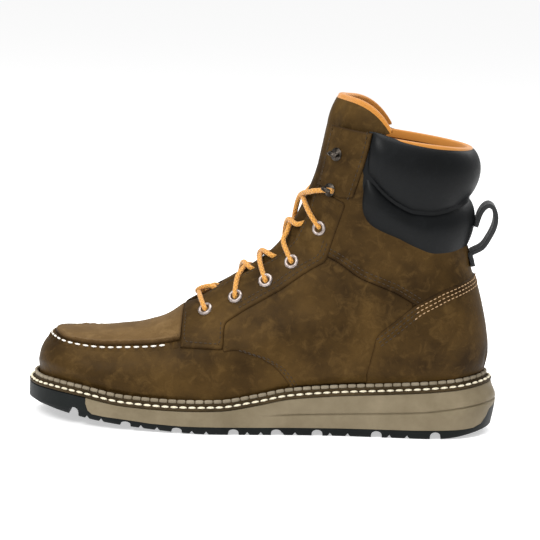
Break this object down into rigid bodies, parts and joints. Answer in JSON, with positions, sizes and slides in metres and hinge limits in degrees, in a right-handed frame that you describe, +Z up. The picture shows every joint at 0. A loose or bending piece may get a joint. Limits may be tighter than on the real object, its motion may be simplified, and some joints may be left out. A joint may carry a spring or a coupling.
{
  "type": "wedge sole work boot",
  "caption": "Left lace-up work boot with a moc toe, padded collar, storm welt and a flat wedge sole, standing empty.",
  "frame": {"origin": "on the ground, under the middle of the boot's bounding box", "axes": "+X from toe to heel, -Y to the outer side of the left boot, +Z up"},
  "size_m": [0.305, 0.1101, 0.2157],
  "materials": {
    "outsole": "satin black moulded rubber",
    "midsole": "satin taupe foam rubber",
    "welt": "brown welt with pale stitching",
    "leather": "oiled brown leather",
    "pad": "smooth black padded collar leather",
    "lining": "amber woven lining",
    "insole": "tan sock liner",
    "nickel": "satin nickel eyelets",
    "gunmetal": "dark antique hooks",
    "lace": "round braided golden lace",
    "webbing": "black woven webbing"
  },
  "bodies": {
    "root": {"outsole": "outsole", "midsole": "midsole", "welt": "welt", "insole": "insole", "upper": "leather", "apron": "leather", "eyestay_outer": "leather", "eyestay_inner": "leather", "hook_facing_outer": "leather", "hook_facing_inner": "leather", "counter": "leather", "collar_roll_upper": "pad", "collar_roll_lower": "pad", "tongue": "lining", "eyelet_outer_1": "nickel", "eyelet_outer_2": "nickel", "eyelet_outer_3": "nickel", "eyelet_outer_4": "nickel", "eyelet_outer_5": "nickel", "eyelet_inner_1": "nickel", "eyelet_inner_2": "nickel", "eyelet_inner_3": "nickel", "eyelet_inner_4": "nickel", "eyelet_inner_5": "nickel", "hook_outer_1": "gunmetal", "hook_outer_2": "gunmetal", "hook_inner_1": "gunmetal", "hook_inner_2": "gunmetal", "lace_bar_1": "lace", "lace_bar_2": "lace", "lace_bar_3": "lace", "lace_bar_4": "lace", "lace_bar_5": "lace", "pull_loop": "webbing"}
  },
  "joints": []
}
